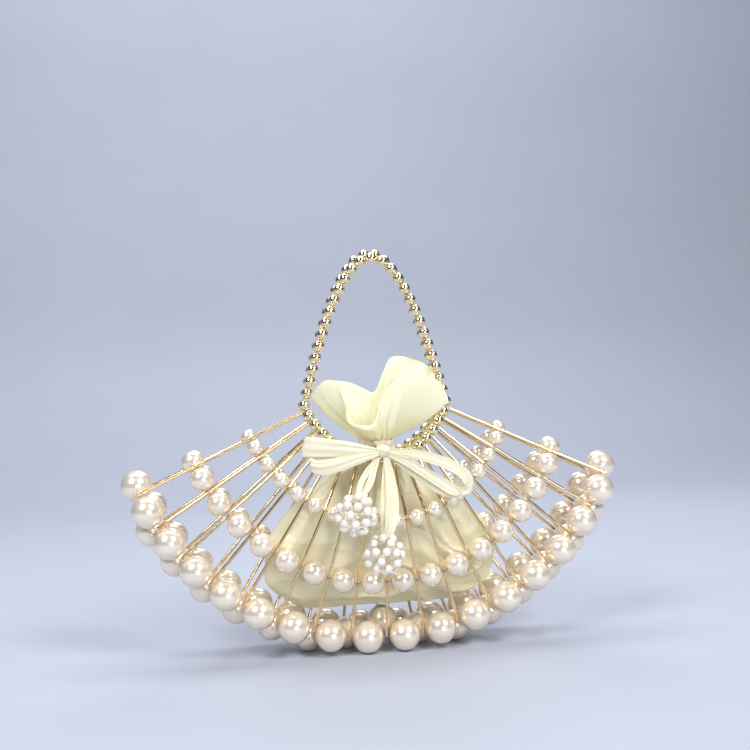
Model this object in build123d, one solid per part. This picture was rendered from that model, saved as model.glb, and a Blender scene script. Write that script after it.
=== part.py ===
from build123d import *
import os
from math import asin, cos, degrees, pi, radians, sin, sqrt

# Fan-shaped flower girl basket, millimetres, +Z up, +X along the fan, -Y to the front.
# Two bead-strung fan panels (front and back) lean on each other along the outer edge and
# part in the middle, where a drawstring pouch hangs. Each panel has 17 ribs of three gold
# tubes, three rows of pearls between the ribs, and a ring of gold beads at the hub, which
# carries on upwards as the handle arch.

# ---------------------------------------------------------------- driving dimensions
RIBS = 17                       # ribs in one panel
CENTRE = RIBS // 2              # index of the upright rib
RIB_STEP = 8.2                  # degrees between neighbouring ribs
OUTER_PITCH = 19.0              # distance between neighbouring outer nodes
TUBE_ROWS = (31.9, 30.6, 30.6)  # node to node along a rib: inner, middle, outer tube
END_DEPTH = (4.3, 5.6, 7.6, 12.4)      # half depth at the end ribs: ring, small, medium, outer
MID_DEPTH = (15.0, 25.0, 22.0, 13.1)   # half depth at the upright rib
RING, SMALL, MEDIUM, OUTER = range(4)

LARGE_D, MEDIUM_D, SMALL_D = 16.0, 12.0, 8.0   # pearl diameters
PEARL_BORE_R = 0.7
JOIN_BORE_R = 0.3               # pearls between the two panels are threaded once only
FLATTEN = 1.3                   # how far the bottom of the fan is pressed flat
GUSSET_OUT = 4.5                # gusset pearls stand this far outside the outer nodes
GUSSET_UP = 5.0                 # the middle gusset pearl is squeezed up between the panels
END_LARGE_OUT = 4.0             # end pearls stand beyond the last rib by this much
END_MEDIUM_OUT = 2.2
END_SMALL_OUT = 1.0

TUBE_R, TUBE_BORE_R = 0.85, 0.55
TUBE_INSET = 0.3                # bare line left at a node
RING_INSET = 2.5                # bare line between the ring beads and the first tube

BEAD_D, BEAD_BORE_R = 5.9, 0.6  # gold beads of the ring and the handle arches
WIRE_R = 0.35                   # wire through the gold beads
BEND_R = 0.8                    # the wire bends this tightly between two beads
LINE_R = 0.15                   # clear line through tubes and pearls
LINE_EXIT = 0.1                 # how far outside an end pearl its line bends
LINE_SHIFT = 0.3                # rib lines pass outside, row lines inside, of a node

# each arch by side: height of its crown, and bead pitches from shoulder to shoulder
ARCH_TOP_Z = {-1: 202.5, 1: 205.5}
ARCH_PITCHES = {-1: 28, 1: 29}
ARCH_TOP_Y = 3.15               # the two arches stand almost touching at the top

BALL_R, BALL_BEAD_D, BALL_BORE_R = 8.5, 4.2, 0.4   # pearl-cluster balls, 30 pearls each
KNOT = Vector(0, -21.5, 101.5)  # bow knot, also the swing axis of both tassels
KNOT_R = (4.0, 2.6, 3.6)
TAIL_START = 8.5                # tails begin this far from the swing axis
RIBBON_T = 0.5
LOWER_OUT = 4.2                 # the lower bow loops hang in front of the upper ones

SIDES = {"front": -1, "back": 1}


# ---------------------------------------------------------------- fan geometry
FAN_R = OUTER_PITCH / 2 / sin(radians(RIB_STEP / 2))
FAN_Z = LARGE_D / 2 - FLATTEN + FAN_R


def fan_angle(rib):
    return radians(RIB_STEP * (rib - CENTRE))


def half_depth(row, rib):
    blend = cos(pi / 2 * abs(rib - CENTRE) / CENTRE)
    return END_DEPTH[row] + (MID_DEPTH[row] - END_DEPTH[row]) * blend


def rib_nodes(rib):
    """(x, half depth, z) at the ring, small, medium and outer node of one rib."""
    angle = fan_angle(rib)
    depth = [half_depth(row, rib) for row in range(4)]
    x = FAN_R * sin(angle)
    z = max(LARGE_D / 2, FAN_Z - FAN_R * cos(angle))
    nodes = {OUTER: (x, depth[OUTER], z)}
    for row in (MEDIUM, SMALL, RING):
        run = sqrt(TUBE_ROWS[row] ** 2 - (depth[row] - depth[row + 1]) ** 2)
        x -= run * sin(angle)
        z += run * cos(angle)
        nodes[row] = (x, depth[row], z)
    return nodes


NODES = [rib_nodes(rib) for rib in range(RIBS)]


def node(side, row, rib, shift=0.0):
    """A node of one panel; a positive shift moves it outwards, away from the pouch."""
    x, depth, z = NODES[rib][row]
    return Vector(x, side * (depth + shift), z)


def radial(rib):
    """Unit vector from the hub of the fan outwards along a rib."""
    return Vector(sin(fan_angle(rib)), 0, -cos(fan_angle(rib)))


def tangent(rib):
    """Unit vector along the arc of the fan, towards higher ribs."""
    return Vector(cos(fan_angle(rib)), 0, sin(fan_angle(rib)))


def gusset_centre(rib):
    """Centre of the pearl joining the front and back outer nodes of one rib."""
    x, _, z = NODES[rib][OUTER]
    at = Vector(x, 0, z)
    if rib in (0, RIBS - 1):
        return at + tangent(rib) * (END_LARGE_OUT if rib else -END_LARGE_OUT)
    if rib == CENTRE:
        return at + Vector(0, 0, GUSSET_UP)
    at += radial(rib) * GUSSET_OUT
    if abs(rib - CENTRE) == 1:
        at.X = x
    at.Z = max(at.Z, LARGE_D / 2)
    return at


def end_centre(row, rib, out):
    """Centre of the pearl that closes a row across one end of the basket."""
    x, _, z = NODES[rib][row]
    return Vector(x, 0, z) + tangent(rib) * (out if rib else -out)


# ---------------------------------------------------------------- small solids
def along(centre, direction, solid):
    """Places a solid modelled about Z so that its axis points along a direction."""
    return Plane(origin=centre, z_dir=direction).location * solid


def bored_ball(diameter, bore_r):
    return Sphere(diameter / 2) - Cylinder(bore_r, diameter * 1.2)


def tube(length):
    return Cylinder(TUBE_R, length) - Cylinder(TUBE_BORE_R, length * 1.1)


def wire(points, radius):
    """A bent wire: straight runs joined by tight tangent arcs at the points."""
    path = FilletPolyline(*points, radius=BEND_R)
    section = Plane(origin=path @ 0, z_dir=path % 0) * Circle(radius)
    return sweep(section, path=path)


def rods(points, radius, gap=0.1):
    """A line as separate straight runs, each ending just short of the bends."""
    pieces = []
    for a, b in zip(points, points[1:]):
        run = b - a
        pieces.append(along((a + b) * 0.5, run, Cylinder(radius, run.length - 2 * gap)))
    return pieces


def save(name, solids):
    parts = []
    for shape in solids:
        parts.extend(shape.solids())
    export_step(Compound(children=parts, label=name), f"parts/{name}.step")


os.makedirs("parts", exist_ok=True)

# ---------------------------------------------------------------- rib tubes
ROW_NAMES = {RING: "inner", SMALL: "middle", MEDIUM: "outer"}
for side_name, side in SIDES.items():
    for row, row_name in ROW_NAMES.items():
        start = RING_INSET if row == RING else TUBE_INSET
        gold_tube = tube(TUBE_ROWS[row] - start - TUBE_INSET)
        tubes = []
        for rib in range(RIBS):
            a, b = node(side, row, rib), node(side, row + 1, rib)
            unit = (b - a).normalized()
            middle = (a + unit * start + b - unit * TUBE_INSET) * 0.5
            tubes.append(along(middle, unit, gold_tube))
        save(f"rib_tubes_{side_name}_{row_name}", tubes)

# ---------------------------------------------------------------- pearls
PEARLS = {SMALL: ("small", SMALL_D), MEDIUM: ("medium", MEDIUM_D), OUTER: ("large", LARGE_D)}
for side_name, side in SIDES.items():
    for row, (size_name, diameter) in PEARLS.items():
        pearl = bored_ball(diameter, PEARL_BORE_R)
        row_pearls = []
        for rib in range(RIBS - 1):
            a, b = node(side, row, rib), node(side, row, rib + 1)
            row_pearls.append(along((a + b) * 0.5, b - a, pearl))
        save(f"pearls_{side_name}_{size_name}", row_pearls)

ACROSS = Vector(0, 1, 0)
large_pearl = bored_ball(LARGE_D, JOIN_BORE_R)
save("pearls_gusset", [along(gusset_centre(r), ACROSS, large_pearl) for r in range(RIBS)])
ENDS = (0, RIBS - 1)
medium_pearl = bored_ball(MEDIUM_D, JOIN_BORE_R)
save("pearls_end_medium",
     [along(end_centre(MEDIUM, r, END_MEDIUM_OUT), ACROSS, medium_pearl) for r in ENDS])
small_pearl = bored_ball(SMALL_D, JOIN_BORE_R)
save("pearls_end_small",
     [along(end_centre(SMALL, r, END_SMALL_OUT), ACROSS, small_pearl) for r in ENDS])

# ---------------------------------------------------------------- gold ring and shoulders
gold_bead = bored_ball(BEAD_D, BEAD_BORE_R)
SHOULDER_RISE = Vector(-0.5, -0.5, 3.05)   # from the first ring node to the left shoulder bead


def shoulder(side, end):
    """Centre of the shoulder bead, on the pivot axis of the arch; end -1 left, +1 right."""
    at = node(side, RING, 0 if end < 0 else RIBS - 1)
    rise = Vector(-end * SHOULDER_RISE.X, side * SHOULDER_RISE.Y, SHOULDER_RISE.Z)
    return at + rise


for side_name, side in SIDES.items():
    ring = [node(side, RING, rib) for rib in range(RIBS)]
    beads = [along((a + b) * 0.5, b - a, gold_bead) for a, b in zip(ring, ring[1:])]
    for end, at in ((-1, ring[0]), (1, ring[-1])):
        beads.append(along(shoulder(side, end), shoulder(side, end) - at, gold_bead))
    save(f"ring_beads_{side_name}", beads)

front_ring = [node(-1, RING, rib) for rib in range(RIBS)]
front_wire = wire([shoulder(-1, -1)] + front_ring + [shoulder(-1, 1)], WIRE_R)
save("ring_wire_front", [front_wire])
save("ring_wire_back", [mirror(front_wire, about=Plane.XZ)])

# ---------------------------------------------------------------- handle arches
ARCH_STEPS = 4000


def arch_point(side, t):
    """The arch is a parabola from shoulder (t = -1) over the top (t = 0) to t = +1."""
    base = shoulder(side, 1)
    rise = 1 - t * t
    y = base.Y + (side * ARCH_TOP_Y - base.Y) * rise
    return Vector(base.X * t, y, base.Z + (ARCH_TOP_Z[side] - base.Z) * rise)


def arch_marks(side):
    """Points half a pitch from each shoulder bead, then one pitch apart, by arc length."""
    fine = [arch_point(side, -1 + 2 * i / ARCH_STEPS) for i in range(ARCH_STEPS + 1)]
    lengths = [0.0]
    for a, b in zip(fine, fine[1:]):
        lengths.append(lengths[-1] + (b - a).length)
    marks, want, pitches = [], 0.5, ARCH_PITCHES[side]
    for point, length in zip(fine, lengths):
        if len(marks) < pitches and length >= want * lengths[-1] / pitches:
            marks.append(point)
            want += 1
    return marks


for side_name, side in SIDES.items():
    marks = arch_marks(side)
    beads = [along((a + b) * 0.5, b - a, gold_bead) for a, b in zip(marks, marks[1:])]
    save(f"handle_beads_{side_name}", beads)
    first = marks[0] + (marks[1] - marks[0]).normalized() * 0.4
    last = marks[-1] + (marks[-2] - marks[-1]).normalized() * 0.4
    save(f"handle_wire_{side_name}", [wire([first] + marks[1:-1] + [last], WIRE_R)])

# ---------------------------------------------------------------- stringing lines
LOOP_R = WIRE_R + LINE_R + 0.02


def rib_line(rib):
    """One line per rib station: round the front ring wire, down the front tubes, across
    through the gusset pearl, up the back tubes and round the back ring wire."""
    path, loops = [], []
    for side in (-1, 1):
        ring_node = node(side, RING, rib)
        unit = (node(side, SMALL, rib) - ring_node).normalized()
        half = [ring_node + unit * (LOOP_R + LINE_R)]
        half += [node(side, row, rib, LINE_SHIFT) for row in (SMALL, MEDIUM, OUTER)]
        half.append(node(side, OUTER, rib, -LINE_SHIFT) + radial(rib) * 0.5)
        half.append(gusset_centre(rib) + Vector(0, side * (LARGE_D / 2 - 0.3), 0))
        path = path + half if side < 0 else path + half[::-1]
        before = node(side, RING, max(rib - 1, 0))
        after = node(side, RING, min(rib + 1, RIBS - 1))
        loops.append(along(ring_node, after - before, Torus(LOOP_R, LINE_R)))
    return rods(path, LINE_R) + loops


rib_lines = []
for rib in range(RIBS):
    rib_lines += rib_line(rib)
save("stringing_lines_ribs", rib_lines)


def row_path(side, row):
    return [node(side, row, rib, -LINE_SHIFT) for rib in range(RIBS)]


def closed_row(row, diameter, out):
    """A line all round the basket, through both end pearls."""
    left, right = end_centre(row, 0, out), end_centre(row, RIBS - 1, out)
    reach = Vector(0, diameter / 2 + LINE_EXIT, 0)
    path = [left + reach, left - reach] + row_path(-1, row)
    path += [right - reach, right + reach] + row_path(1, row)[::-1] + [left + reach]
    return rods(path, LINE_R)


row_lines = rods(row_path(-1, OUTER), LINE_R) + rods(row_path(1, OUTER), LINE_R)
row_lines += closed_row(MEDIUM, MEDIUM_D, END_MEDIUM_OUT)
row_lines += closed_row(SMALL, SMALL_D, END_SMALL_OUT)
save("stringing_lines_rows", row_lines)

# ---------------------------------------------------------------- pouch
CLOTH_T = 0.9
# height, half width, half depth of the filled-out bag, from the bottom seam to the neck
POUCH_LEVELS = ((22.0, 38.0, 3.2), (27.0, 55.0, 8.0), (36.0, 63.0, 13.0), (48.0, 63.5, 15.0),
                (62.0, 57.0, 16.5), (78.0, 42.0, 16.0), (92.0, 22.0, 12.5), (101.0, 10.5, 9.0),
                (107.0, 6.8, 6.8))


def level_loft(levels, inset=0.0, floor=0.0):
    rings = []
    for i, (z, half_x, half_y) in enumerate(levels):
        lift = floor if i == 0 else 0.0
        rings.append(Pos(0, 0, z + lift) * Ellipse(half_x - inset, half_y - inset))
    return loft(rings)


pouch = level_loft(POUCH_LEVELS) - level_loft(POUCH_LEVELS, CLOTH_T, CLOTH_T)
save("pouch_body", [pouch])

RUFFLE_LEVELS = ((107.2, 6.8, 6.8), (112.0, 11.0, 9.0), (119.0, 20.0, 11.5), (127.0, 26.5, 12.5),
                 (137.0, 28.0, 12.5), (151.0, 26.0, 12.0))
flare = level_loft(RUFFLE_LEVELS) - level_loft(RUFFLE_LEVELS, CLOTH_T)
# front outline of the two petals, which part in a V above the neck
LEFT_PETAL = ((-12.0, 106.0), (-24.0, 114.0), (-31.0, 126.0), (-27.0, 138.0), (-14.0, 139.0),
              (-6.0, 134.0), (-1.0, 124.0))
RIGHT_PETAL = ((1.0, 124.0), (5.0, 138.0), (10.0, 149.0), (17.0, 150.5), (25.0, 144.0),
               (31.0, 128.0), (24.0, 114.0), (12.0, 106.0))
with BuildSketch(Plane.XZ) as petals:
    with BuildLine():
        Spline(*LEFT_PETAL)
        Line(LEFT_PETAL[-1], RIGHT_PETAL[0])
        Spline(*RIGHT_PETAL)
        Line(RIGHT_PETAL[-1], LEFT_PETAL[0])
    make_face()
outline = extrude(petals.sketch, 30, both=True)
save("pouch_ruffle", [flare & outline])

# ---------------------------------------------------------------- drawstring and bow
NECK_Z = 105.3
band = Pos(0, 0, NECK_Z) * (Cylinder(9.7, 3.0) - Cylinder(9.0, 4.0))
lead_start, lead_end = Vector(0, -9.4, NECK_Z), Vector(0, KNOT.Y + KNOT_R[1] + 0.2, NECK_Z - 1.2)
lead_run = lead_end - lead_start
lead = along((lead_start + lead_end) * 0.5, lead_run, Box(0.8, 4.4, lead_run.length))
if lead.bounding_box().size.X < 3:
    lead = along((lead_start + lead_end) * 0.5, lead_run, Box(4.4, 0.8, lead_run.length))
save("neck_drawstring", [band.fuse(lead)])

knot = scale(Sphere(1.0), by=KNOT_R)
save("bow_knot", [Pos(KNOT) * knot])


def teardrop(start, reach, depth):
    """A flat teardrop from its point at start to its round end at reach."""
    run = reach - start
    shape = ((0.0, 0.0), (0.35, 0.38), (0.8, 0.5), (1.0, 0.0))
    upper = [(start + run * along_run, depth * across) for along_run, across in shape]
    lower = [(x, -y) for x, y in reversed(upper)]
    return make_face(Spline(*upper) + Spline(*lower))


def bow_loop(reach, depth, width, lift, swing, side):
    """A flattened ribbon loop from the knot: reach outwards, tilted up by lift degrees and
    swung to the front by swing degrees."""
    outer = teardrop(0.0, reach, depth)
    inner = teardrop(3 * RIBBON_T, reach - RIBBON_T, depth - 2 * RIBBON_T)
    loop = Pos(0, 0, -width / 2) * extrude(outer - inner, amount=width, dir=(0, 0, 1))
    sign = 1 if side > 0 else -1
    if side < 0:
        loop = Rot(0, 0, 180) * loop
    tilted = Rot(0, 0, -sign * swing) * Rot(0, -sign * lift, 0) * loop
    return Pos(KNOT + Vector(sign * (KNOT_R[0] + 0.8), 0, 0)) * tilted


save("bow_loop_left_upper", [bow_loop(35.0, 6.0, 7.0, 9.0, 2.0, -1)])
save("bow_loop_left_lower", [Pos(0, -LOWER_OUT, 0) * bow_loop(30.0, 5.0, 7.0, -19.0, 6.0, -1)])
save("bow_loop_right_upper", [bow_loop(36.0, 6.0, 7.0, -10.0, 4.0, 1)])
save("bow_loop_right_lower", [Pos(0, -LOWER_OUT, 0) * bow_loop(38.0, 5.0, 6.0, -32.0, 12.0, 1)])

# ---------------------------------------------------------------- pearl-cluster tassels
GOLDEN = (1 + sqrt(5)) / 2


def dodecahedron():
    """Corners and edges of a dodecahedron with unit distance from centre to edge middle."""
    corners = [Vector(x, y, z) for x in (-1, 1) for y in (-1, 1) for z in (-1, 1)]
    for p in (-1, 1):
        for q in (-1, 1):
            corners.append(Vector(0, p / GOLDEN, q * GOLDEN))
            corners.append(Vector(p / GOLDEN, q * GOLDEN, 0))
            corners.append(Vector(p * GOLDEN, 0, q / GOLDEN))
    corners = [c * (1 / GOLDEN) for c in corners]
    edge = 2 / GOLDEN ** 2
    pairs = []
    for i, a in enumerate(corners):
        for b in corners[i + 1:]:
            if abs((a - b).length - edge) < 1e-6:
                pairs.append((a, b))
    return corners, pairs


CORNERS, EDGES = dodecahedron()
FACE_TILT = degrees(asin(1 / sqrt(1 + GOLDEN ** 2)))


def tassel(name, start_x, ball_centre, top_width, low_width):
    """A ribbon tail from the knot and a ball of pearls strung along dodecahedron edges, one
    open five-pearl face turned to the tail."""
    start = Vector(start_x, KNOT.Y, KNOT.Z)
    run = ball_centre - start
    unit = run.normalized()
    frame = Plane(origin=ball_centre, x_dir=(1, 0, 0), z_dir=unit * -1).location
    turn = Rot(0, -FACE_TILT, 0)
    bead = bored_ball(BALL_BEAD_D, BALL_BORE_R)
    beads, threads = [], []
    for a, b in EDGES:
        a, b = a * BALL_R, b * BALL_R
        beads.append(frame * turn * along((a + b) * 0.5, b - a, bead))
        threads.append(along((a + b) * 0.5, b - a, Cylinder(LINE_R, (b - a).length)))
    threads += [Pos(c * BALL_R) * Sphere(LINE_R) for c in CORNERS]
    save(f"cluster_pearls_{name}", beads)
    save(f"cluster_line_{name}", [frame * turn * threads[0].fuse(*threads[1:])])

    length = run.length - TAIL_START - BALL_R * 0.55
    with BuildSketch(Plane.XZ) as strip:
        with BuildLine():
            Polyline((-low_width / 2, 0), (low_width / 2, 0), (top_width / 2, length),
                     (-top_width / 2, length), close=True)
        make_face()
    tail = extrude(strip.sketch, RIBBON_T / 2, both=True)
    stop = Pos(0, 0, -0.6) * Sphere(1.8)
    save(f"ribbon_tail_{name}", [frame * Pos(0, 0, BALL_R * 0.55) * tail.fuse(stop)])


tassel("left", -3.4, Vector(-17.0, -39.8, 73.0), 3.6, 3.4)
tassel("right", 1.2, Vector(-3.6, -36.4, 52.8), 4.6, 3.8)
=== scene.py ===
from math import atan2, cos, pi, radians, sin

import bmesh
import bpy
import numpy as np
from mathutils import Matrix, Vector, noise


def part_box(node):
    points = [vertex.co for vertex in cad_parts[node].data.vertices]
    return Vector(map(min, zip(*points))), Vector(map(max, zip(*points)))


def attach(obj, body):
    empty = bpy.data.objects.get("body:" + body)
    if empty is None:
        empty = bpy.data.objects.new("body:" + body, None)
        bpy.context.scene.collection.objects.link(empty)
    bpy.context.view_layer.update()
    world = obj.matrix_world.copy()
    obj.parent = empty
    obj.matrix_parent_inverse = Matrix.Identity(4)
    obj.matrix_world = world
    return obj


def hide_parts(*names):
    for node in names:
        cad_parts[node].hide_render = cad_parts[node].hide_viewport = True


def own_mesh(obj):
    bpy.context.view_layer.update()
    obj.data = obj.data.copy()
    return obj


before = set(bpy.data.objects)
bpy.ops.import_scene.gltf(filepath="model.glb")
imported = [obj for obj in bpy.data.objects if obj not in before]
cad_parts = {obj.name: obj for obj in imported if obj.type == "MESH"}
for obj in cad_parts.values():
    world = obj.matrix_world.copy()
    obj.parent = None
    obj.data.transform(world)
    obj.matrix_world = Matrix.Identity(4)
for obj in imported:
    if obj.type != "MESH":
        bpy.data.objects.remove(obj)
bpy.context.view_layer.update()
MM = 0.001

# ------------------------------------------------------------------ camera
CAMERA_DISTANCE = 0.473          # in front of the basket's middle
CAMERA_HEIGHT = 0.1263
CAMERA_SIDE = 0.0006
CAMERA_YAW = radians(8.98)       # the camera stands round to the left
CAMERA_TILT = radians(1.75)      # looking slightly up
CAMERA_ROLL = radians(1.91)
FOCAL_PIXELS = 900.0
IMAGE_PIXELS = 750.0
SENSOR = 36.0


def make_camera():
    c, s = cos(CAMERA_YAW), sin(CAMERA_YAW)
    place = Vector((CAMERA_SIDE * c - CAMERA_DISTANCE * s,
                    -CAMERA_SIDE * s - CAMERA_DISTANCE * c, CAMERA_HEIGHT))
    level_right = Vector((c, -s, 0))
    ahead = Vector((s * cos(CAMERA_TILT), c * cos(CAMERA_TILT), sin(CAMERA_TILT)))
    level_up = level_right.cross(ahead)
    right = level_right * cos(CAMERA_ROLL) - level_up * sin(CAMERA_ROLL)
    up = level_right * sin(CAMERA_ROLL) + level_up * cos(CAMERA_ROLL)
    data = bpy.data.cameras.new("camera")
    data.sensor_width = SENSOR
    data.lens = FOCAL_PIXELS / IMAGE_PIXELS * SENSOR
    data.clip_start = 0.01
    data.clip_end = 20
    camera = bpy.data.objects.new("camera", data)
    bpy.context.collection.objects.link(camera)
    axes = Matrix((right, up, -ahead)).transposed()
    camera.matrix_world = Matrix.Translation(place) @ axes.to_4x4()
    bpy.context.scene.camera = camera


make_camera()


# ------------------------------------------------------------------ materials
NOISE_ROUGHNESS = 0.55


def new_material(name):
    """A material with its node tree and its Principled shader."""
    material = bpy.data.materials.new(name)
    material.use_nodes = True
    tree = material.node_tree
    return material, tree, tree.nodes["Principled BSDF"]


def add(tree, kind, **settings):
    node = tree.nodes.new(kind)
    for key, value in settings.items():
        setattr(node, key, value)
    return node


def object_coordinates(tree):
    return add(tree, "ShaderNodeTexCoord").outputs["Object"]


def noise_node(tree, scale, detail):
    """Solid noise fixed to the object, scale in waves per metre."""
    texture = add(tree, "ShaderNodeTexNoise")
    texture.inputs["Scale"].default_value = scale
    texture.inputs["Detail"].default_value = detail
    texture.inputs["Roughness"].default_value = NOISE_ROUGHNESS
    tree.links.new(object_coordinates(tree), texture.inputs["Vector"])
    return texture.outputs["Fac"]


def ramp(tree, factor, low, high, at=(0.3, 0.7)):
    """A colour that runs from low to high as factor runs between the two stops."""
    node = add(tree, "ShaderNodeValToRGB")
    node.color_ramp.elements[0].position = at[0]
    node.color_ramp.elements[1].position = at[1]
    node.color_ramp.elements[0].color = (*low, 1)
    node.color_ramp.elements[1].color = (*high, 1)
    tree.links.new(factor, node.inputs["Fac"])
    return node.outputs["Color"]


def to_range(tree, factor, low, high):
    """Stretches a 0 to 1 factor to low to high."""
    node = add(tree, "ShaderNodeMapRange")
    node.inputs["To Min"].default_value = low
    node.inputs["To Max"].default_value = high
    tree.links.new(factor, node.inputs["Value"])
    return node.outputs["Result"]


def multiply_colours(tree, a, b):
    """The two colours multiplied. A colour mix has its factor, A and B at these sockets."""
    factor_socket, a_socket, b_socket, result_socket = 0, 6, 7, 2
    node = add(tree, "ShaderNodeMix", data_type="RGBA", blend_type="MULTIPLY")
    node.inputs[factor_socket].default_value = 1.0
    tree.links.new(a, node.inputs[a_socket])
    tree.links.new(b, node.inputs[b_socket])
    return node.outputs[result_socket]


def bump(tree, shader, height, strength, distance):
    """Fine relief on a shader, distance in metres."""
    node = add(tree, "ShaderNodeBump")
    node.inputs["Strength"].default_value = strength
    node.inputs["Distance"].default_value = distance
    tree.links.new(height, node.inputs["Height"])
    tree.links.new(node.outputs["Normal"], shader.inputs["Normal"])


def pearl_material(name, light, warm, edge, lustre=0.5):
    """Lacquered imitation pearl: cloudy ivory body, warm specular edge and a glossy coat.
    lustre is how metallic the body looks."""
    material, tree, shader = new_material(name)
    cloud = ramp(tree, noise_node(tree, 160, 3), light, warm, (0.35, 0.75))
    tree.links.new(cloud, shader.inputs["Base Color"])
    shader.inputs["Metallic"].default_value = lustre
    shader.inputs["Specular Tint"].default_value = (*edge, 1)
    tree.links.new(to_range(tree, noise_node(tree, 900, 2), 0.20, 0.30),
                   shader.inputs["Roughness"])
    shader.inputs["IOR"].default_value = 1.6
    shader.inputs["Coat Weight"].default_value = 1.0
    shader.inputs["Coat Roughness"].default_value = 0.04
    shader.inputs["Coat IOR"].default_value = 1.65
    bump(tree, shader, noise_node(tree, 1400, 3), 0.02, 0.0001)
    return material


def gold_material(name, light, deep, rough, grain):
    """Plated gold: the colour drifts a little, fine polishing marks break the reflection.
    grain is how many marks there are per metre."""
    material, tree, shader = new_material(name)
    plating = ramp(tree, noise_node(tree, 90, 4), light, deep, (0.35, 0.8))
    tree.links.new(plating, shader.inputs["Base Color"])
    shader.inputs["Metallic"].default_value = 1.0
    tree.links.new(to_range(tree, noise_node(tree, 1100, 3), rough, rough + 0.06),
                   shader.inputs["Roughness"])
    shader.inputs["Coat Weight"].default_value = 0.2
    shader.inputs["Coat Roughness"].default_value = 0.04
    bump(tree, shader, noise_node(tree, grain, 4), 0.02, 0.00004)
    return material


def line_material():
    """Clear nylon stringing line with a faint warm tint."""
    material, tree, shader = new_material("clear_nylon")
    tint = ramp(tree, noise_node(tree, 500, 2), (0.97, 0.95, 0.88), (0.90, 0.86, 0.76))
    tree.links.new(tint, shader.inputs["Base Color"])
    shader.inputs["Roughness"].default_value = 0.12
    shader.inputs["IOR"].default_value = 1.53
    shader.inputs["Transmission Weight"].default_value = 0.6
    return material


WEFT_SHARE = 0.6                 # threads along v for each thread along u


def cloth_material(name, light, deep, threads, gloss, sheen, weave=0.35, shine=0.5):
    """Satin: a close weave along u and v, a slightly uneven dye and a soft coat. threads is
    the number of bands across the piece, weave the strength of their relief and shine the
    weight of the coat."""
    material, tree, shader = new_material(name)
    uv = add(tree, "ShaderNodeTexCoord").outputs["UV"]
    heights = []
    for direction, share in (("X", 1.0), ("Y", WEFT_SHARE)):
        wave = add(tree, "ShaderNodeTexWave", wave_type="BANDS", bands_direction=direction)
        wave.inputs["Scale"].default_value = threads * share
        wave.inputs["Distortion"].default_value = 0.6
        wave.inputs["Detail"].default_value = 1.0
        tree.links.new(uv, wave.inputs["Vector"])
        heights.append(wave.outputs["Fac"])
    cross = add(tree, "ShaderNodeMath", operation="MULTIPLY")
    tree.links.new(heights[0], cross.inputs[0])
    tree.links.new(heights[1], cross.inputs[1])
    dye = ramp(tree, noise_node(tree, 45, 5), light, deep, (0.35, 0.85))
    thread_tone = ramp(tree, cross.outputs[0], (0.95, 0.94, 0.90), (1, 1, 1), (0.0, 0.8))
    woven = multiply_colours(tree, dye, thread_tone)
    tree.links.new(woven, shader.inputs["Base Color"])
    tree.links.new(to_range(tree, noise_node(tree, 220, 4), gloss, gloss + 0.12),
                   shader.inputs["Roughness"])
    shader.inputs["Specular IOR Level"].default_value = 0.9
    shader.inputs["Coat Weight"].default_value = shine
    shader.inputs["Coat Roughness"].default_value = 0.16
    shader.inputs["Sheen Weight"].default_value = sheen
    shader.inputs["Sheen Roughness"].default_value = 0.35
    shader.inputs["Sheen Tint"].default_value = (1.0, 0.98, 0.85, 1)
    shader.inputs["Subsurface Weight"].default_value = 0.25
    shader.inputs["Subsurface Scale"].default_value = 0.004
    shader.inputs["Subsurface Radius"].default_value = (1.0, 0.9, 0.5)
    bump(tree, shader, cross.outputs[0], weave, 0.00008)
    return material


PEARL = pearl_material("ivory_pearl", (0.98, 0.88, 0.74), (0.94, 0.81, 0.66),
                       (0.90, 0.70, 0.46))
SEED_PEARL = pearl_material("white_seed_pearl", (0.99, 0.95, 0.86), (0.97, 0.90, 0.78),
                            (0.93, 0.82, 0.62), 0.2)
GOLD_TUBE = gold_material("pale_gold_tube", (0.84, 0.65, 0.38), (0.77, 0.57, 0.30), 0.05, 700)
GOLD_BEAD = gold_material("gold_plated_bead", (0.94, 0.82, 0.56), (0.88, 0.74, 0.46), 0.03, 400)
GOLD_WIRE = gold_material("bright_wire", (0.80, 0.62, 0.34), (0.72, 0.52, 0.26), 0.2, 1500)
CLEAR = line_material()
SATIN = cloth_material("cream_satin", (1.0, 0.95, 0.64), (1.0, 0.92, 0.56), 260, 0.18, 0.05)
RUFFLE_SATIN = cloth_material("ruffle_satin", (0.99, 0.98, 0.70), (0.97, 0.96, 0.62), 260, 0.28,
                              0.05)
RIBBON = cloth_material("cream_ribbon", (1.0, 0.95, 0.70), (0.97, 0.89, 0.60), 120, 0.34, 0.15,
                        0.6)

NODE_MATERIALS = {
    "rib_tubes": GOLD_TUBE, "pearls": PEARL, "ring_beads": GOLD_BEAD, "handle_beads": GOLD_BEAD,
    "ring_wire": GOLD_WIRE, "handle_wire": GOLD_WIRE, "stringing": CLEAR,
    "cluster_pearls": SEED_PEARL, "cluster_line": CLEAR,
}
for node_name, node_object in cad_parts.items():
    for prefix, material in NODE_MATERIALS.items():
        if node_name.startswith(prefix):
            node_object.data.materials.clear()
            node_object.data.materials.append(material)


# ------------------------------------------------------------------ cloth shapes
SMOOTHING_LEVELS = 1


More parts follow.
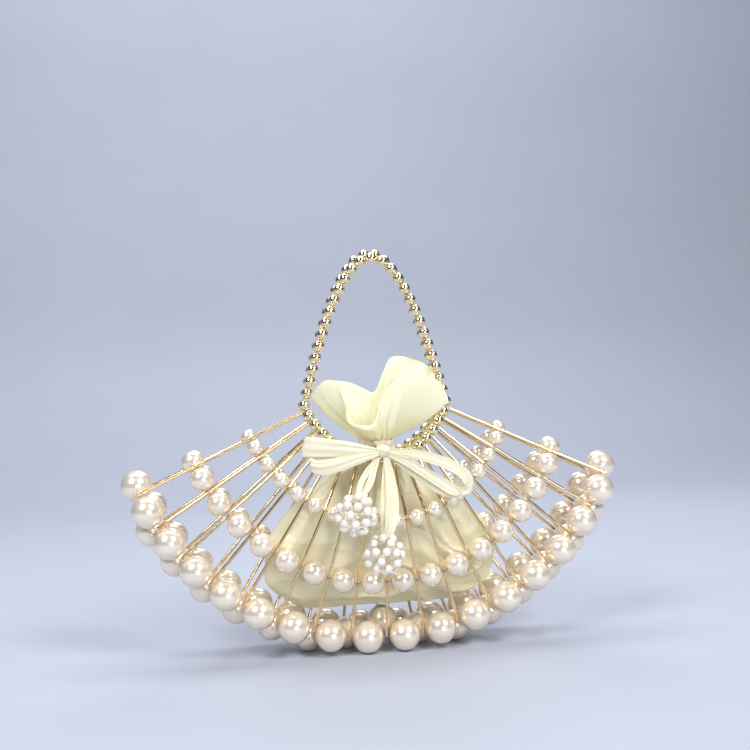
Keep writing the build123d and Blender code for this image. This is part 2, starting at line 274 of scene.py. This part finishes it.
def sheet_mesh(name, points, body, material, thickness, closed_u=False):
    """A grid of points [row][column] turned into a thin piece of cloth with UVs. closed_u
    joins the last column to the first."""
    rows, columns = len(points), len(points[0])
    mesh = bpy.data.meshes.new(name)
    maker = bmesh.new()
    grid = [[maker.verts.new(p) for p in row] for row in points]
    uv_layer = maker.loops.layers.uv.new("weave")
    spans = columns if closed_u else columns - 1
    for i in range(rows - 1):
        for j in range(spans):
            k = (j + 1) % columns
            face = maker.faces.new((grid[i][j], grid[i][k], grid[i + 1][k], grid[i + 1][j]))
            face.smooth = True
            corners = ((j, i), (j + 1, i), (j + 1, i + 1), (j, i + 1))
            for loop, (u, v) in zip(face.loops, corners):
                loop[uv_layer].uv = (u / spans, v / (rows - 1))
    maker.to_mesh(mesh)
    maker.free()
    piece = bpy.data.objects.new(name, mesh)
    bpy.context.collection.objects.link(piece)
    mesh.materials.append(material)
    solid = piece.modifiers.new("thickness", "SOLIDIFY")
    solid.thickness = thickness
    solid.offset = 0.0
    solid.use_even_offset = False
    smooth = piece.modifiers.new("smooth", "SUBSURF")
    smooth.levels = SMOOTHING_LEVELS
    smooth.render_levels = SMOOTHING_LEVELS
    bake(piece)
    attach(piece, body)
    return piece


def bake(piece):
    """Applies the piece's modifiers to its mesh."""
    graph = bpy.context.evaluated_depsgraph_get()
    final = bpy.data.meshes.new_from_object(piece.evaluated_get(graph))
    piece.modifiers.clear()
    piece.data = final
    for polygon in final.polygons:
        polygon.use_smooth = True


def catmull_span(p0, p1, p2, p3, f):
    """Catmull-Rom curve between p1 (f = 0) and p2 (f = 1)."""
    return 0.5 * (2 * p1 + (p2 - p0) * f + (2 * p0 - 5 * p1 + 4 * p2 - p3) * f * f
                  + (3 * p1 - p0 - 3 * p2 + p3) * f ** 3)


def catmull(values, t):
    """Smooth value at t (0 to 1) through evenly spaced control values."""
    values = np.asarray(values, float)
    last = len(values) - 1
    place = t * last
    i = min(int(place), last - 1)
    before, after = values[max(i - 1, 0)], values[min(i + 2, last)]
    return catmull_span(before, values[i], values[i + 1], after, place - i)


def closed_catmull(values, t):
    """The same round a closed loop, where t = 1 is t = 0 again."""
    values = np.asarray(values, float)
    count = len(values)
    place = (t % 1.0) * count
    i = int(place) % count
    four = [values[(i + k) % count] for k in (-1, 0, 1, 2)]
    return catmull_span(*four, place - int(place))


# ------------------------------------------------------------------ pouch
# share of the height, half width, half depth (mm) of the hanging bag, bottom to neck
POUCH_PROFILE = ((0.00, 36, 2.6), (0.05, 52, 7.0), (0.14, 60.5, 11.5), (0.28, 62.5, 14.2),
                 (0.42, 58, 15.6), (0.56, 48, 16.0), (0.70, 34, 14.4), (0.82, 21.5, 11.6),
                 (0.91, 11.5, 8.8), (0.96, 7.6, 7.0), (1.00, 6.4, 6.4))


def profile(share):
    """Half width and half depth (mm) at a share of the height."""
    heights = [p[0] for p in POUCH_PROFILE]
    return (np.interp(share, heights, [p[1] for p in POUCH_PROFILE]),
            np.interp(share, heights, [p[2] for p in POUCH_PROFILE]))


def smooth_profile(share):
    """The profile averaged over a small window, so that it has no corners."""
    window = [profile(min(max(share + d, 0), 1)) for d in (-0.05, -0.025, 0, 0.025, 0.05)]
    return [sum(w[k] for w in window) / len(window) for k in (0, 1)]


POUCH_ROWS, POUCH_COLUMNS = 90, 168
POUCH_CLOTH = 0.5 * MM
GATHER_FROM = 0.45               # share of the height where the neck's pleats begin
NECK_PLEATS = 15
FOLD_HUB_Z = 112                 # the long folds fan out from here, mm
LONG_FOLD, FINE_FOLD = 4.2, 2.4  # depths of the folds, mm
SLACK_FOLD, WRINKLE = 6.0, 0.8
OUTWARD_LIMIT = 1.06             # the pouch never swells further than this times its profile


def ridge(value):
    """A soft crest: 1 on the fold's line, falling away on both sides."""
    return (1 - min(abs(value), 1)) ** 2


def pouch_fold(place, v):
    """Depth of the satin's folds, mm: long ones that fan out below the neck, and slack ones
    that lie across the filled bottom, deepest towards the right."""
    x, y, z = place
    fan = atan2(x, FOLD_HUB_Z - z)
    long_folds = noise.noise(Vector((fan * 4.2 + 2, y * 0.02, v * 1.6))) * LONG_FOLD
    long_folds += noise.noise(Vector((fan * 10 + 5, y * 0.03 + 3, v * 2.4))) * FINE_FOLD
    slack = noise.noise(Vector((x * 0.018 + y * 0.03, v * 2 + 7, 3)))
    across = ridge(2.6 * noise.noise(Vector((x * 0.025, y * 0.03, z * 0.11 + 2.6 * slack))))
    across -= 0.5
    towards_right = min(max(x / 30, -1), 1)
    weight = max(0.0, 1 - v * 1.35) * (0.6 + 0.4 * towards_right)
    wrinkle = ridge(3.2 * noise.noise(Vector((x * 0.035 + z * 0.02, y * 0.05 + 9, z * 0.05))))
    return (long_folds * (0.45 + 0.55 * v) + across * SLACK_FOLD * weight
            + (wrinkle - 0.4) * WRINKLE)


def pouch_points():
    """The pouch as rings of points from its bottom to its neck."""
    low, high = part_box("pouch_body")
    rows = []
    for i in range(POUCH_ROWS + 1):
        v = i / POUCH_ROWS
        half_x, half_y = smooth_profile(v)
        row = []
        for j in range(POUCH_COLUMNS):
            a = 2 * pi * j / POUCH_COLUMNS
            x, y = cos(a), sin(a)
            gather = max(0.0, (v - GATHER_FROM) / 0.55) ** 1.3
            pleat = sin(NECK_PLEATS * a + 1.2 * sin(3 * a)) * 0.085 * gather
            belly = noise.noise(Vector((x * 1.6, y * 1.6, v * 3.1 + 4))) * 0.05 * (1 - gather)
            out = min(1.0 + pleat + belly, OUTWARD_LIMIT)
            height = low.z + (high.z - low.z) * v
            place = Vector((half_x * out * x, half_y * out * y, height / MM))
            outward = Vector((x / half_x, y / half_y, 0)).normalized()
            place += outward * pouch_fold(place, v) * (1 - 0.8 * gather)
            row.append(place * MM)
        rows.append(row)
    return rows


pouch = sheet_mesh("satin_pouch", pouch_points(), "cage", SATIN, POUCH_CLOTH, True)
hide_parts("pouch_body")

# ------------------------------------------------------------------ ruffle
# rim of the ruffle above the neck (mm): left tip, front edge, right tip, back edge
RIM = ((-33.2, -3.5, 129.0), (-31.5, -8.5, 135.0), (-26.0, -11.5, 137.0), (-20.5, -13.0, 134.5),
       (-17.5, -15.0, 125.0), (-17.0, -16.0, 117.5), (-10.0, -17.5, 115.2), (-4.0, -16.5, 115.5),
       (-0.5, -13.5, 121.0), (2.0, -12.5, 129.5), (7.0, -14.0, 136.0), (14.0, -15.0, 140.0),
       (21.5, -14.5, 141.5), (28.0, -13.0, 138.0), (34.0, -11.0, 131.5), (38.2, -8.8, 125.5),
       (37.0, -6.5, 131.0), (33.0, -5.0, 139.0), (28.0, 1.0, 146.0), (21.5, 4.0, 149.0),
       (15.5, 5.0, 150.6), (9.5, 5.0, 149.5), (5.0, 5.0, 141.0), (0.5, 5.0, 132.0),
       (-5.0, 6.0, 134.0), (-12.0, 6.5, 137.2), (-20.0, 5.5, 138.5), (-27.5, 2.5, 138.0))
RUFFLE_ROWS, RUFFLE_COLUMNS = 36, 224
RUFFLE_CLOTH = 0.45 * MM
NECK_R = 6.3                     # radius of the gathered neck, mm
RUFFLE_PLEATS = 16


def ruffle_points():
    """The ruffle as rings of points from the gathered neck up to its rim."""
    low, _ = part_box("pouch_ruffle")
    base = low.z / MM
    rows = []
    for i in range(RUFFLE_ROWS + 1):
        v = i / RUFFLE_ROWS
        row = []
        for j in range(RUFFLE_COLUMNS):
            t = j / RUFFLE_COLUMNS
            rim = closed_catmull(RIM, t)
            a = pi + 2 * pi * t
            pinch = 1 + 0.13 * sin(RUFFLE_PLEATS * a) + 0.05 * sin(31 * a + 1)
            neck = np.array((NECK_R * cos(a) * pinch, NECK_R * sin(a) * pinch, base - 0.6))
            reach = rim[:2] - neck[:2]
            belly = np.array((neck[0] + reach[0] * 0.62, neck[1] + reach[1] * 0.95,
                              base + (rim[2] - base) * 0.36))
            p = (1 - v) ** 2 * neck + 2 * v * (1 - v) * belly + v * v * rim
            fold = sin(RUFFLE_PLEATS * a) * 0.75 * (1 - v) ** 1.4
            fold *= sin(pi * min(v * 1.6 + 0.12, 1))
            soft = noise.noise(Vector((t * 9, v * 2.5, 1.7))) * 1.3 * v
            crease = -abs(noise.noise(Vector((t * 22, v * 1.2, 8.0)))) * 1.9 * sin(pi * v)
            crease += ridge(4 * noise.noise(Vector((t * 8 + 3, v * 0.8, 5)))) * 1.6 * v * (1 - v)
            outward = Vector((cos(a), sin(a), 0))
            offset = outward * (fold + soft + crease)
            row.append(Vector((p[0] + offset.x, p[1] + offset.y, p[2])) * MM)
        rows.append(row)
    return rows


ruffle = sheet_mesh("satin_ruffle", ruffle_points(), "cage", RUFFLE_SATIN,
                    RUFFLE_CLOTH, True)
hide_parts("pouch_ruffle")
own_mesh(ruffle)


# ------------------------------------------------------------------ ribbons
RIBBON_CLOTH = 0.22 * MM
RIBBON_COLUMNS = 16
RIBBON_CREASE = 1.1              # depth of the pulled creases, mm


def ribbon(name, body, stations, length_steps=80, cup=0.35, ripple=0.12):
    """A satin ribbon through stations of (centre, half-width vector), both in mm. cup is how
    far its edges lift and ripple how far it waves, in mm."""
    seed = sum(ord(letter) for letter in name) * 0.37
    centres = [s[0] for s in stations]
    halves = [s[1] for s in stations]
    points = []
    for i in range(length_steps + 1):
        t = i / length_steps
        centre, half = catmull(centres, t), catmull(halves, t)
        ahead = catmull(centres, min(t + 0.01, 1)) - catmull(centres, max(t - 0.01, 0))
        normal = np.cross(ahead, half)
        normal = normal / (np.linalg.norm(normal) + 1e-9)
        row = []
        for j in range(RIBBON_COLUMNS + 1):
            w = 2 * j / RIBBON_COLUMNS - 1
            pull = 0.35 + 0.65 * abs(2 * t - 1)
            wave = cup * w * w + ripple * sin(9 * t + 2.4 * w) * (1 - abs(2 * t - 1) ** 4)
            broad = noise.noise(Vector((w * 2.3, t * 1.6, seed)))
            fine = noise.noise(Vector((w * 5.5, t * 2.5, seed + 7)))
            wave += RIBBON_CREASE * pull * broad
            wave += RIBBON_CREASE * 0.6 * pull * fine
            row.append(Vector(centre + half * w + normal * wave) * MM)
        points.append(row)
    return sheet_mesh(name, points, body, RIBBON, RIBBON_CLOTH)


# each loop leaves the knot in front, turns at its far end and comes back behind itself
BOW_LOOPS = {
    "left_upper": (
        ((-2.5, -22.8, 101.8), (0, 0, 1.5)), ((-13, -25.4, 103.0), (0.2, 0, 3.4)),
        ((-26, -26.6, 104.4), (0.4, 0, 4.6)), ((-36, -25.2, 105.4), (0.9, 0, 5.1)),
        ((-40.2, -21.8, 105.6), (1.1, 0.3, 5.0)), ((-35, -19.3, 104.6), (0.8, 0.2, 4.6)),
        ((-22, -19.6, 103.2), (0.3, 0, 3.6)), ((-3, -21.2, 101.6), (0, 0, 1.4))),
    "left_lower": (
        ((-2.5, -24.2, 100.9), (0, 0, 1.3)), ((-12, -27.0, 99.3), (-0.4, 0, 2.6)),
        ((-23, -28.2, 96.6), (-0.9, 0, 3.5)), ((-32, -27.6, 95.3), (-0.6, 0, 3.9)),
        ((-36.8, -25.2, 96.8), (-0.3, 0.4, 3.4)), ((-31, -23.3, 98.0), (-0.3, 0, 3.0)),
        ((-18, -23.2, 99.2), (-0.3, 0, 2.4)), ((-3, -23.0, 100.6), (0, 0, 1.1))),
    "right_upper": (
        ((2.5, -22.6, 101.6), (0, 0, 1.3)), ((13, -25.6, 100.4), (0.3, 0, 2.3)),
        ((25, -27.8, 97.2), (0.6, 0, 2.6)), ((35, -28.8, 92.6), (1.2, 0, 2.5)),
        ((41.6, -28.2, 86.0), (2.3, 0.2, 1.6)), ((40.0, -26.6, 80.6), (1.6, 0.3, -2.0)),
        ((30, -25.8, 84.4), (-0.9, 0.3, -2.4)), ((17, -24.4, 92.2), (-0.7, 0.2, -2.2)),
        ((3, -21.8, 100.2), (0, 0, -1.2))),
    "right_lower": (
        ((2.5, -24.4, 100.4), (0, 0, 1.2)), ((12, -27.2, 95.6), (0.8, 0, 2.0)),
        ((23, -29.6, 88.4), (1.2, 0, 2.2)), ((32.5, -31.0, 81.8), (1.6, 0, 1.9)),
        ((36.6, -30.2, 78.6), (1.5, 0.3, -0.9)), ((29, -27.9, 81.0), (-1.2, 0.2, -2.0)),
        ((16, -26.0, 89.4), (-1.0, 0.2, -1.9)), ((3, -23.6, 99.2), (0, 0, -1.1))),
}
for loop_name, stations in BOW_LOOPS.items():
    piece = ribbon(f"bow_ribbon_{loop_name}", "cage", stations)
    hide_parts(f"bow_loop_{loop_name}")


KNOT_ROWS, KNOT_COLUMNS = 40, 56
KNOT_CLOTH = 0.25 * MM


def knot_points():
    """The wrapped ribbon at the middle of the bow: a plump band with pulled creases."""
    low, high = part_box("bow_knot")
    middle, half = (low + high) / 2, (high - low) / 2
    rows = []
    for i in range(KNOT_ROWS + 1):
        v = pi * (0.03 + 0.94 * i / KNOT_ROWS)
        row = []
        for j in range(KNOT_COLUMNS):
            a = 2 * pi * j / KNOT_COLUMNS
            crease = 1 - 0.10 * abs(sin(3.5 * v + 0.8 * sin(a))) * abs(sin(a))
            crease += 0.05 * sin(6 * a + 2 * v)
            row.append(middle + Vector((half.x * cos(v) * 0.95,
                                        half.y * sin(v) ** 0.7 * cos(a) * crease,
                                        half.z * sin(v) ** 0.7 * sin(a) * crease)))
        rows.append(row)
    return rows


knot = sheet_mesh("bow_knot_wrap", knot_points(), "cage", RIBBON, KNOT_CLOTH, True)
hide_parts("bow_knot")


BAND_ROWS, BAND_COLUMNS = 8, 144
BAND_R = 8.6                     # radius of the drawstring round the neck, mm
BAND_HALF_WIDTH = 1.5
BAND_CLOTH = 0.3 * MM


def drawstring_points():
    """Gathered ribbon round the neck."""
    low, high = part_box("neck_drawstring")
    middle_z = (low.z + high.z) / 2 / MM + 0.1
    rows = []
    for i in range(BAND_ROWS + 1):
        w = 2 * i / BAND_ROWS - 1
        row = []
        for j in range(BAND_COLUMNS):
            a = 2 * pi * j / BAND_COLUMNS
            r = BAND_R + 0.35 * sin(13 * a) + 0.3 * (1 - w * w)
            z = middle_z + w * BAND_HALF_WIDTH + 0.5 * sin(a * 2 + 0.5)
            row.append(Vector((r * cos(a), r * sin(a), z)) * MM)
        rows.append(row)
    return rows


band = sheet_mesh("drawstring_ribbon", drawstring_points(), "cage", RIBBON,
                  BAND_CLOTH, True)
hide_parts("neck_drawstring")
ribbon("drawstring_lead", "cage",
       (((-0.6, -8.4, 105.2), (1.9, 0, 0)), ((-0.4, -13.0, 105.0), (2.0, 0, 0)),
        ((-0.2, -17.0, 104.2), (1.9, 0, 0)), ((0, -20.6, 102.4), (1.6, 0, 0))),
       length_steps=24)

# tassel ribbons: two narrow plies to the left ball, a broad one and a narrow one to the right
TAILS = {
    "left": (
        (((-3.2, -24.6, 98.8), (1.2, 0, 0)), ((-8.5, -27.6, 93.5), (1.7, 0, 0)),
         ((-13.2, -31.5, 87.0), (1.6, 0.2, 0)), ((-14.8, -34.2, 81.5), (1.2, 0.2, 0)),
         ((-15.3, -36.5, 78.6), (0.9, 0.2, 0))),
        (((-3.2, -25.0, 98.6), (1.0, 0, 0)), ((-6.0, -28.0, 93.0), (1.6, 0, 0)),
         ((-9.0, -31.8, 86.6), (2.0, 0.3, 0)), ((-13.0, -34.6, 81.4), (1.6, 0.5, 0)),
         ((-15.1, -36.8, 78.8), (1.0, 0.5, 0)))),
    "right": (
        (((0.9, -25.2, 98.8), (1.4, 0, 0)), ((1.9, -27.0, 90.0), (2.5, 0.2, 0)),
         ((2.3, -30.4, 79.5), (3.1, 0.3, 0)), ((0.9, -33.6, 68.5), (3.2, 0.2, 0)),
         ((-1.8, -35.4, 60.0), (1.9, 0, 0)), ((-2.8, -35.9, 57.6), (1.2, 0, 0))),
        (((0.4, -24.4, 98.4), (0.9, 0, 0)), ((-0.4, -26.2, 90.0), (1.4, 0, 0)),
         ((-1.7, -29.6, 79.0), (1.6, -0.3, 0)), ((-2.7, -33.0, 68.0), (1.5, -0.3, 0)),
         ((-2.9, -35.2, 60.0), (1.2, 0, 0)))),
}
for side_name, plies in TAILS.items():
    for index, stations in enumerate(plies):
        piece = ribbon(f"tail_ribbon_{side_name}_{index + 1}", f"tassel_{side_name}", stations,
                       cup=0.3, ripple=0.25)
        if index == 0:
            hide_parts(f"ribbon_tail_{side_name}")


# ------------------------------------------------------------------ stage and light
# painted light and shade: how bright the paper is painted by distance along the sweep (m), front
# to back, in bands that stand in for how the light falls on it
PAPER_PAINTED_LIGHT_LEVELS = ((-0.30, 0.45), (0.20, 0.51), (0.55, 0.48), (0.90, 0.44), (1.40, 0.49),
               (1.80, 0.41), (2.60, 0.47))
PAPER_TINT = (1.0, 1.07, 1.27)
SWEEP_FRONT, SWEEP_BACK, SWEEP_HALF_WIDTH = -2.2, 1.6, 4.0
SWEEP_BEND_R, SWEEP_TOP, SWEEP_STEPS = 0.9, 2.6, 12


def floor_material():
    """Matt paper with painted light and shade: its brightness changes slowly from front to back.
    """
    material, tree, shader = new_material("pale_paper")
    place = add(tree, "ShaderNodeSeparateXYZ")
    tree.links.new(object_coordinates(tree), place.inputs["Vector"])
    along = add(tree, "ShaderNodeMath", operation="ADD")
    tree.links.new(place.outputs["Y"], along.inputs[0])
    tree.links.new(place.outputs["Z"], along.inputs[1])
    start, end = PAPER_PAINTED_LIGHT_LEVELS[0][0], PAPER_PAINTED_LIGHT_LEVELS[-1][0]
    share = add(tree, "ShaderNodeMapRange")
    share.inputs["From Min"].default_value = start
    share.inputs["From Max"].default_value = end
    tree.links.new(along.outputs[0], share.inputs["Value"])
    # painted light and shade: the ramp's stops lighten and darken the paper in bands where the
    # light falls more or less
    painted_light_ramp = add(tree, "ShaderNodeValToRGB")
    painted_light_ramp.color_ramp.interpolation = "B_SPLINE"
    stops = painted_light_ramp.color_ramp.elements
    for index, (at, painted_level) in enumerate(PAPER_PAINTED_LIGHT_LEVELS):
        position = (at - start) / (end - start)
        stop = stops[index] if index < 2 else stops.new(position)
        stop.position = position
        # each stop is a painted brightness level, tinted blue
        stop.color = (*[painted_level * tint for tint in PAPER_TINT], 1)
    tree.links.new(share.outputs["Result"], painted_light_ramp.inputs["Fac"])
    grain = ramp(tree, noise_node(tree, 6, 3), (1, 1, 1), (0.97, 0.97, 0.97))
    paper = multiply_colours(tree, painted_light_ramp.outputs["Color"], grain)
    tree.links.new(paper, shader.inputs["Base Color"])
    shader.inputs["Roughness"].default_value = 0.6
    bump(tree, shader, noise_node(tree, 700, 2), 0.03, 0.0002)
    return material


def make_floor():
    """A paper sweep: flat under the basket, curving up far behind it."""
    bend_start = SWEEP_BACK - SWEEP_BEND_R
    outline = [(SWEEP_FRONT, 0.0), (-0.5, 0.0), (0.4, 0.0), (bend_start, 0.0)]
    for i in range(1, SWEEP_STEPS + 1):
        a = pi / 2 * i / SWEEP_STEPS
        outline.append((bend_start + SWEEP_BEND_R * sin(a), SWEEP_BEND_R * (1 - cos(a))))
    outline.append((SWEEP_BACK, SWEEP_TOP))
    mesh = bpy.data.meshes.new("paper_sweep")
    maker = bmesh.new()
    left = [maker.verts.new((-SWEEP_HALF_WIDTH, y, z)) for y, z in outline]
    right = [maker.verts.new((SWEEP_HALF_WIDTH, y, z)) for y, z in outline]
    for i in range(len(outline) - 1):
        face = maker.faces.new((left[i], right[i], right[i + 1], left[i + 1]))
        face.smooth = True
    maker.to_mesh(mesh)
    maker.free()
    sweep = bpy.data.objects.new("paper_sweep", mesh)
    bpy.context.collection.objects.link(sweep)
    mesh.materials.append(floor_material())


def area_light(name, place, target, size, power, colour=(1, 1, 1)):
    """A rectangular softbox at place that points at target, in metres and watts."""
    data = bpy.data.lights.new(name, "AREA")
    data.shape = "RECTANGLE"
    data.size, data.size_y = size
    data.energy = power
    data.color = colour
    light = bpy.data.objects.new(name, data)
    bpy.context.collection.objects.link(light)
    light.location = place
    aim = (Vector(target) - Vector(place)).to_track_quat("-Z", "Y")
    light.rotation_euler = aim.to_euler()


make_floor()
area_light("softbox_left", (-0.70, -0.75, 0.95), (0, 0, 0.08), (0.42, 0.5), 9.8)
area_light("softbox_right", (0.60, -0.80, 0.95), (0, 0, 0.08), (0.38, 0.48), 10.0)
area_light("front_fill", (0.35, -1.4, 0.22), (0, 0, 0.08), (0.6, 0.4), 3.6)
area_light("rear_softbox", (0.15, 0.8, 0.9), (0, 0, 0.1), (0.5, 0.4), 2.4)
area_light("backdrop_wash", (-0.05, 0.35, 2.0), (0.0, 1.45, 0.55), (2.4, 0.8), 30,
           (0.97, 0.98, 1.0))
world = bpy.data.worlds.new("studio")
world.use_nodes = True
surroundings = world.node_tree.nodes["Background"]
surroundings.inputs["Color"].default_value = (0.82, 0.86, 0.95, 1)
surroundings.inputs["Strength"].default_value = 0.14
bpy.context.scene.world = world
bpy.context.scene.view_settings.view_transform = "Standard"
